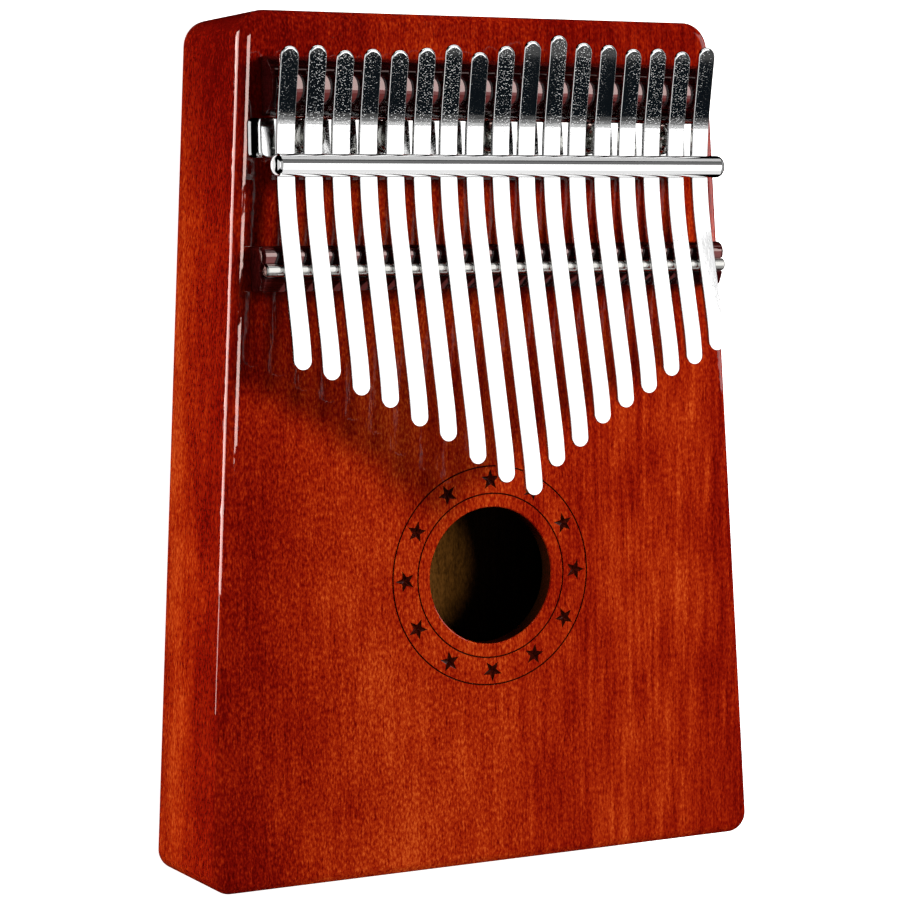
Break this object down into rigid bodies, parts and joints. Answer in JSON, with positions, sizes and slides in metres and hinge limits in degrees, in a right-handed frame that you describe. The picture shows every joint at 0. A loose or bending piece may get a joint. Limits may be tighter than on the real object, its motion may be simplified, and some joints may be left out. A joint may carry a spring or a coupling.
{
  "type": "mbira",
  "caption": "Thumb piano with tuned spring steel tines clamped over two bridges on a hollow tapered wooden box with a round sound hole.",
  "frame": {"origin": "centre of the back face, on which the instrument lies", "axes": "+Y along the body from the player's end to the rear bridge, +Z out of the soundboard, +X to the right when the face is seen with +Y up"},
  "size_m": [0.1334, 0.185, 0.0529],
  "materials": {
    "body_wood": "high-gloss red lacquer over mahogany",
    "raw_wood": "bare hardwood",
    "bridge_wood": "glossy dark red stain",
    "chrome": "bright chrome plate",
    "screw_steel": "bright nickel plate",
    "saddle_steel": "drawn steel",
    "tine_steel": "polished spring steel"
  },
  "bodies": {
    "root": {"side_frame": "body_wood", "soundboard": "body_wood", "back_panel": "body_wood", "screw_block": "raw_wood", "rear_bridge": "bridge_wood", "front_bridge": "bridge_wood", "saddle_rod": "saddle_steel", "clamp_plate": "chrome", "pressure_bar": "chrome", "clamp_screws": "screw_steel", "tine_01_tail": "tine_steel", "tine_02_tail": "tine_steel", "tine_03_tail": "tine_steel", "tine_04_tail": "tine_steel", "tine_05_tail": "tine_steel", "tine_06_tail": "tine_steel", "tine_07_tail": "tine_steel", "tine_08_tail": "tine_steel", "tine_09_tail": "tine_steel", "tine_10_tail": "tine_steel", "tine_11_tail": "tine_steel", "tine_12_tail": "tine_steel", "tine_13_tail": "tine_steel", "tine_14_tail": "tine_steel", "tine_15_tail": "tine_steel", "tine_16_tail": "tine_steel", "tine_17_tail": "tine_steel"},
    "tine_01": {"tine_01_tongue": "tine_steel"},
    "tine_02": {"tine_02_tongue": "tine_steel"},
    "tine_03": {"tine_03_tongue": "tine_steel"},
    "tine_04": {"tine_04_tongue": "tine_steel"},
    "tine_05": {"tine_05_tongue": "tine_steel"},
    "tine_06": {"tine_06_tongue": "tine_steel"},
    "tine_07": {"tine_07_tongue": "tine_steel"},
    "tine_08": {"tine_08_tongue": "tine_steel"},
    "tine_09": {"tine_09_tongue": "tine_steel"},
    "tine_10": {"tine_10_tongue": "tine_steel"},
    "tine_11": {"tine_11_tongue": "tine_steel"},
    "tine_12": {"tine_12_tongue": "tine_steel"},
    "tine_13": {"tine_13_tongue": "tine_steel"},
    "tine_14": {"tine_14_tongue": "tine_steel"},
    "tine_15": {"tine_15_tongue": "tine_steel"},
    "tine_16": {"tine_16_tongue": "tine_steel"},
    "tine_17": {"tine_17_tongue": "tine_steel"}
  },
  "joints": [
    {"name": "tine_01_flex", "type": "hinge", "parent": "root", "child": "tine_01", "pos_m": [-0.0504, 0.03667, 0.0424], "axis": [1, 0, 0], "range_deg": [-1.5, 3], "stiffness_Nm_per_rad": 14.6},
    {"name": "tine_02_flex", "type": "hinge", "parent": "root", "child": "tine_02", "pos_m": [-0.0441, 0.03667, 0.0424], "axis": [1, 0, 0], "range_deg": [-1.5, 3], "stiffness_Nm_per_rad": 13},
    {"name": "tine_03_flex", "type": "hinge", "parent": "root", "child": "tine_03", "pos_m": [-0.0378, 0.03667, 0.0424], "axis": [1, 0, 0], "range_deg": [-1.5, 3], "stiffness_Nm_per_rad": 11.2},
    {"name": "tine_04_flex", "type": "hinge", "parent": "root", "child": "tine_04", "pos_m": [-0.0315, 0.03667, 0.0424], "axis": [1, 0, 0], "range_deg": [-1.5, 3], "stiffness_Nm_per_rad": 10.1},
    {"name": "tine_05_flex", "type": "hinge", "parent": "root", "child": "tine_05", "pos_m": [-0.0252, 0.03667, 0.0424], "axis": [1, 0, 0], "range_deg": [-1.5, 3], "stiffness_Nm_per_rad": 8.8},
    {"name": "tine_06_flex", "type": "hinge", "parent": "root", "child": "tine_06", "pos_m": [-0.0189, 0.03667, 0.0424], "axis": [1, 0, 0], "range_deg": [-1.5, 3], "stiffness_Nm_per_rad": 7.9},
    {"name": "tine_07_flex", "type": "hinge", "parent": "root", "child": "tine_07", "pos_m": [-0.0126, 0.03667, 0.0424], "axis": [1, 0, 0], "range_deg": [-1.5, 3], "stiffness_Nm_per_rad": 6.9},
    {"name": "tine_08_flex", "type": "hinge", "parent": "root", "child": "tine_08", "pos_m": [-0.0063, 0.03667, 0.0424], "axis": [1, 0, 0], "range_deg": [-1.5, 3], "stiffness_Nm_per_rad": 6.3},
    {"name": "tine_09_flex", "type": "hinge", "parent": "root", "child": "tine_09", "pos_m": [0, 0.03667, 0.0424], "axis": [1, 0, 0], "range_deg": [-1.5, 3], "stiffness_Nm_per_rad": 5.9},
    {"name": "tine_10_flex", "type": "hinge", "parent": "root", "child": "tine_10", "pos_m": [0.0063, 0.03667, 0.0424], "axis": [1, 0, 0], "range_deg": [-1.5, 3], "stiffness_Nm_per_rad": 6.7},
    {"name": "tine_11_flex", "type": "hinge", "parent": "root", "child": "tine_11", "pos_m": [0.0126, 0.03667, 0.0424], "axis": [1, 0, 0], "range_deg": [-1.5, 3], "stiffness_Nm_per_rad": 7.4},
    {"name": "tine_12_flex", "type": "hinge", "parent": "root", "child": "tine_12", "pos_m": [0.0189, 0.03667, 0.0424], "axis": [1, 0, 0], "range_deg": [-1.5, 3], "stiffness_Nm_per_rad": 8.5},
    {"name": "tine_13_flex", "type": "hinge", "parent": "root", "child": "tine_13", "pos_m": [0.0252, 0.03667, 0.0424], "axis": [1, 0, 0], "range_deg": [-1.5, 3], "stiffness_Nm_per_rad": 9.4},
    {"name": "tine_14_flex", "type": "hinge", "parent": "root", "child": "tine_14", "pos_m": [0.0315, 0.03667, 0.0424], "axis": [1, 0, 0], "range_deg": [-1.5, 3], "stiffness_Nm_per_rad": 10.5},
    {"name": "tine_15_flex", "type": "hinge", "parent": "root", "child": "tine_15", "pos_m": [0.0378, 0.03667, 0.0424], "axis": [1, 0, 0], "range_deg": [-1.5, 3], "stiffness_Nm_per_rad": 12.1},
    {"name": "tine_16_flex", "type": "hinge", "parent": "root", "child": "tine_16", "pos_m": [0.0441, 0.03667, 0.0424], "axis": [1, 0, 0], "range_deg": [-1.5, 3], "stiffness_Nm_per_rad": 13.5},
    {"name": "tine_17_flex", "type": "hinge", "parent": "root", "child": "tine_17", "pos_m": [0.0504, 0.03667, 0.0424], "axis": [1, 0, 0], "range_deg": [-1.5, 3], "stiffness_Nm_per_rad": 15.7}
  ]
}
